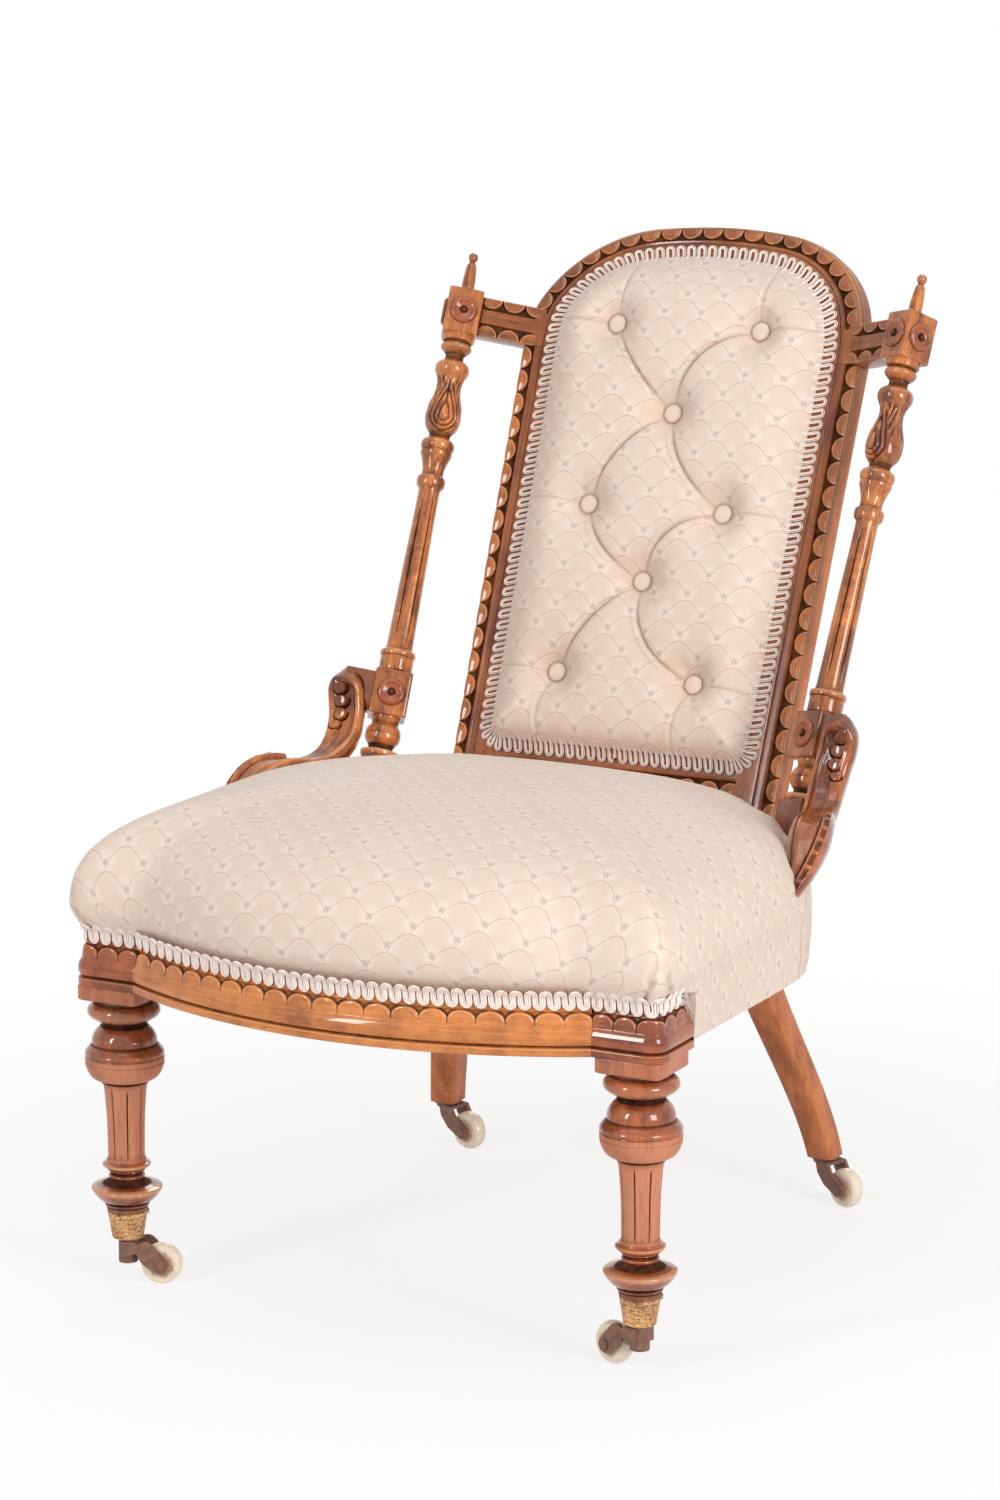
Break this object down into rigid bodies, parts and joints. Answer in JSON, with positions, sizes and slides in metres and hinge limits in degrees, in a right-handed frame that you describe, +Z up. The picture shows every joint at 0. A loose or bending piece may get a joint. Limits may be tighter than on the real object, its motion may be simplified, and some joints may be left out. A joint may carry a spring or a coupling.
{
  "type": "ladies chair",
  "caption": "Low carved walnut ladies chair with an arched buttoned back, turned side posts, scrolled arm brackets, an overstuffed seat and swivelling castors.",
  "frame": {"origin": "on the floor, under the middle of the chair's overall width and depth", "axes": "+Z up, the sitter faces -Y, +X to the right hand of someone who looks at the chair's front"},
  "size_m": [0.6108, 0.8184, 0.8947],
  "materials": {
    "walnut": "French-polished walnut, orange-brown with soft figure and darker carved recesses",
    "walnut_dark": "polished walnut in its darker, redder parts",
    "rail_wood": "plain beech rails under the upholstery",
    "jute": "woven jute webbing and hessian",
    "spring_wire": "dull coppered steel wire",
    "damask": "pale cream and blush cotton damask with a thin scale lattice and small fans",
    "braid": "off-white looped scroll braid",
    "castor_brass": "worn brass with a dark patina",
    "castor_iron": "dark iron with rust in the corners",
    "castor_ceramic": "cream glazed ceramic, crazed, with rust stains at the hub"
  },
  "bodies": {
    "chair_frame": {"front_leg_left": "walnut", "front_leg_right": "walnut", "corner_moulding_left": "walnut", "corner_moulding_right": "walnut", "front_rail": "walnut", "side_rail_left": "rail_wood", "side_rail_right": "rail_wood", "seat_back_rail": "walnut_dark", "back_upright_left": "walnut", "back_upright_right": "walnut", "corner_braces": "rail_wood", "seat_webbing": "jute", "seat_springs": "spring_wire", "bottom_cloth": "jute", "seat_cushion": "damask", "seat_side_cover_left": "damask", "seat_side_cover_right": "damask", "seat_back_cover": "damask", "seat_gimp": "braid", "crest_rail": "walnut", "back_bottom_rail": "walnut", "back_webbing": "jute", "back_cushion": "damask", "back_buttons": "damask", "back_gimp": "braid", "outside_back": "damask", "post_left": "walnut", "post_right": "walnut", "finial_left": "walnut", "finial_right": "walnut", "rosettes_left": "walnut_dark", "rosettes_right": "walnut_dark", "wedge_block_left": "walnut_dark", "wedge_block_right": "walnut_dark", "arm_bracket_left": "walnut", "arm_bracket_right": "walnut", "castor_cup_front_left": "castor_brass", "castor_cup_front_right": "castor_brass", "castor_plate_back_left": "castor_iron", "castor_plate_back_right": "castor_iron", "castor_screws": "castor_brass"},
    "castor_front_left": {"castor_fork_front_left": "castor_iron", "castor_axle_front_left": "castor_iron"},
    "wheel_front_left": {"castor_wheel_front_left": "castor_ceramic"},
    "castor_front_right": {"castor_fork_front_right": "castor_iron", "castor_axle_front_right": "castor_iron"},
    "wheel_front_right": {"castor_wheel_front_right": "castor_ceramic"},
    "castor_back_left": {"castor_fork_back_left": "castor_iron", "castor_axle_back_left": "castor_iron"},
    "wheel_back_left": {"castor_wheel_back_left": "castor_ceramic"},
    "castor_back_right": {"castor_fork_back_right": "castor_iron", "castor_axle_back_right": "castor_iron"},
    "wheel_back_right": {"castor_wheel_back_right": "castor_ceramic"}
  },
  "joints": [
    {"name": "castor_swivel_front_left", "type": "hinge", "parent": "chair_frame", "child": "castor_front_left", "pos_m": [-0.252, -0.3182, 0.042], "axis": [0, 0, 1], "continuous": true},
    {"name": "wheel_spin_front_left", "type": "hinge", "parent": "castor_front_left", "child": "wheel_front_left", "pos_m": [-0.22459, -0.306, 0.0187], "axis": [0.4067, -0.9135, 0], "continuous": true},
    {"name": "castor_swivel_front_right", "type": "hinge", "parent": "chair_frame", "child": "castor_front_right", "pos_m": [0.252, -0.3182, 0.042], "axis": [0, 0, 1], "continuous": true},
    {"name": "wheel_spin_front_right", "type": "hinge", "parent": "castor_front_right", "child": "wheel_front_right", "pos_m": [0.22381, -0.30794, 0.0187], "axis": [0.342, 0.9397, 0], "continuous": true},
    {"name": "castor_swivel_back_left", "type": "hinge", "parent": "chair_frame", "child": "castor_back_left", "pos_m": [-0.2015, 0.1898, 0.042], "axis": [0, 0, 1], "continuous": true},
    {"name": "wheel_spin_back_left", "type": "hinge", "parent": "castor_back_left", "child": "wheel_back_left", "pos_m": [-0.17281, 0.18103, 0.0187], "axis": [-0.2924, -0.9563, 0], "continuous": true},
    {"name": "castor_swivel_back_right", "type": "hinge", "parent": "chair_frame", "child": "castor_back_right", "pos_m": [0.2015, 0.1898, 0.042], "axis": [0, 0, 1], "continuous": true},
    {"name": "wheel_spin_back_right", "type": "hinge", "parent": "castor_back_right", "child": "wheel_back_right", "pos_m": [0.22891, 0.1776, 0.0187], "axis": [-0.4067, -0.9135, 0], "continuous": true}
  ]
}
